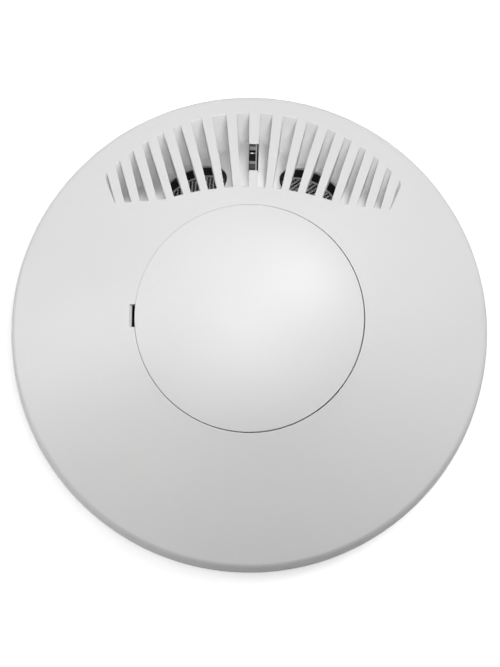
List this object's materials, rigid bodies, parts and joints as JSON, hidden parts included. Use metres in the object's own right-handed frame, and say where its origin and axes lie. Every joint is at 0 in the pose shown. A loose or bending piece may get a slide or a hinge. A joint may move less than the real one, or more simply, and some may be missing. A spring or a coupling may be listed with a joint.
{
  "type": "ceiling occupancy sensor",
  "caption": "Round domed ceiling-mounted ultrasonic motion sensor with a louvred crescent sound window over two transducers and a round snap-off centre cover.",
  "frame": {"origin": "centre of the rear mounting face, which lies on the ceiling (z = 0)", "axes": "+Z out of the mounting face, through the dome, into the room; -Y towards the louvred sound window; +X towards the pry notch beside the centre cover. On a ceiling the part is turned over, so +Z points down"},
  "size_m": [0.114, 0.114, 0.0373],
  "materials": {
    "housing_plastic": "fine matte texture",
    "plate_plastic": "satin",
    "screw_steel": "zinc plated",
    "circuit_board": "solder mask, satin",
    "clear_plastic": "clear, polished",
    "led_plastic": "tinted, polished",
    "pot_plastic": "satin",
    "knob_black": "satin",
    "knob_green": "satin",
    "switch_red": "satin",
    "switch_white": "satin",
    "chip_black": "matt",
    "can_metal": "satin",
    "mesh_metal": "woven wire",
    "cone_metal": "spun",
    "piezo_ceramic": "matt",
    "base_plastic": "matt",
    "pin_metal": "tinned",
    "boot_rubber": "matt",
    "header_plastic": "satin"
  },
  "bodies": {
    "mount": {"mounting_plate": "plate_plastic"},
    "head": {"front_housing": "housing_plastic", "rear_housing": "housing_plastic", "housing_screws": "screw_steel", "board_screws": "screw_steel", "main_board": "circuit_board", "light_pipe": "clear_plastic", "indicator_led": "led_plastic", "time_pot_body": "pot_plastic", "sensitivity_pot_body": "pot_plastic", "dip_switch_body": "switch_red", "microcontroller": "chip_black", "amplifier_chips": "chip_black", "electrolytic_capacitors": "can_metal", "crystal": "can_metal", "voltage_regulator": "chip_black", "lead_header": "header_plastic", "left_transducer_can": "can_metal", "left_transducer_mesh": "mesh_metal", "left_transducer_cone": "cone_metal", "left_transducer_piezo": "piezo_ceramic", "left_transducer_base": "base_plastic", "left_transducer_pins": "pin_metal", "left_transducer_boot": "boot_rubber", "right_transducer_can": "can_metal", "right_transducer_mesh": "mesh_metal", "right_transducer_cone": "cone_metal", "right_transducer_piezo": "piezo_ceramic", "right_transducer_base": "base_plastic", "right_transducer_pins": "pin_metal", "right_transducer_boot": "boot_rubber"},
    "cover": {"center_cover": "housing_plastic"},
    "time_knob": {"time_knob": "knob_black"},
    "sensitivity_knob": {"sensitivity_knob": "knob_green"},
    "dip_slider_1": {"dip_slider_1": "switch_white"},
    "dip_slider_2": {"dip_slider_2": "switch_white"},
    "dip_slider_3": {"dip_slider_3": "switch_white"},
    "dip_slider_4": {"dip_slider_4": "switch_white"}
  },
  "joints": [
    {"name": "head_twist", "type": "hinge", "parent": "mount", "child": "head", "pos_m": [0, 0, 0], "axis": [0, 0, 1], "range_deg": [0, 16]},
    {"name": "cover_lift", "type": "slide", "parent": "head", "child": "cover", "axis": [0, 0, 1], "range_m": [0, 0.04]},
    {"name": "time_knob_turn", "type": "hinge", "parent": "head", "child": "time_knob", "pos_m": [-0.011, 0.006, 0], "axis": [0, 0, 1], "range_deg": [-135, 135]},
    {"name": "sensitivity_knob_turn", "type": "hinge", "parent": "head", "child": "sensitivity_knob", "pos_m": [0.011, 0.006, 0], "axis": [0, 0, 1], "range_deg": [-135, 135]},
    {"name": "dip_slide_1", "type": "slide", "parent": "head", "child": "dip_slider_1", "axis": [0, 1, 0], "range_m": [0, 0.0019]},
    {"name": "dip_slide_2", "type": "slide", "parent": "head", "child": "dip_slider_2", "axis": [0, 1, 0], "range_m": [0, 0.0019]},
    {"name": "dip_slide_3", "type": "slide", "parent": "head", "child": "dip_slider_3", "axis": [0, 1, 0], "range_m": [0, 0.0019]},
    {"name": "dip_slide_4", "type": "slide", "parent": "head", "child": "dip_slider_4", "axis": [0, 1, 0], "range_m": [0, 0.0019]}
  ]
}
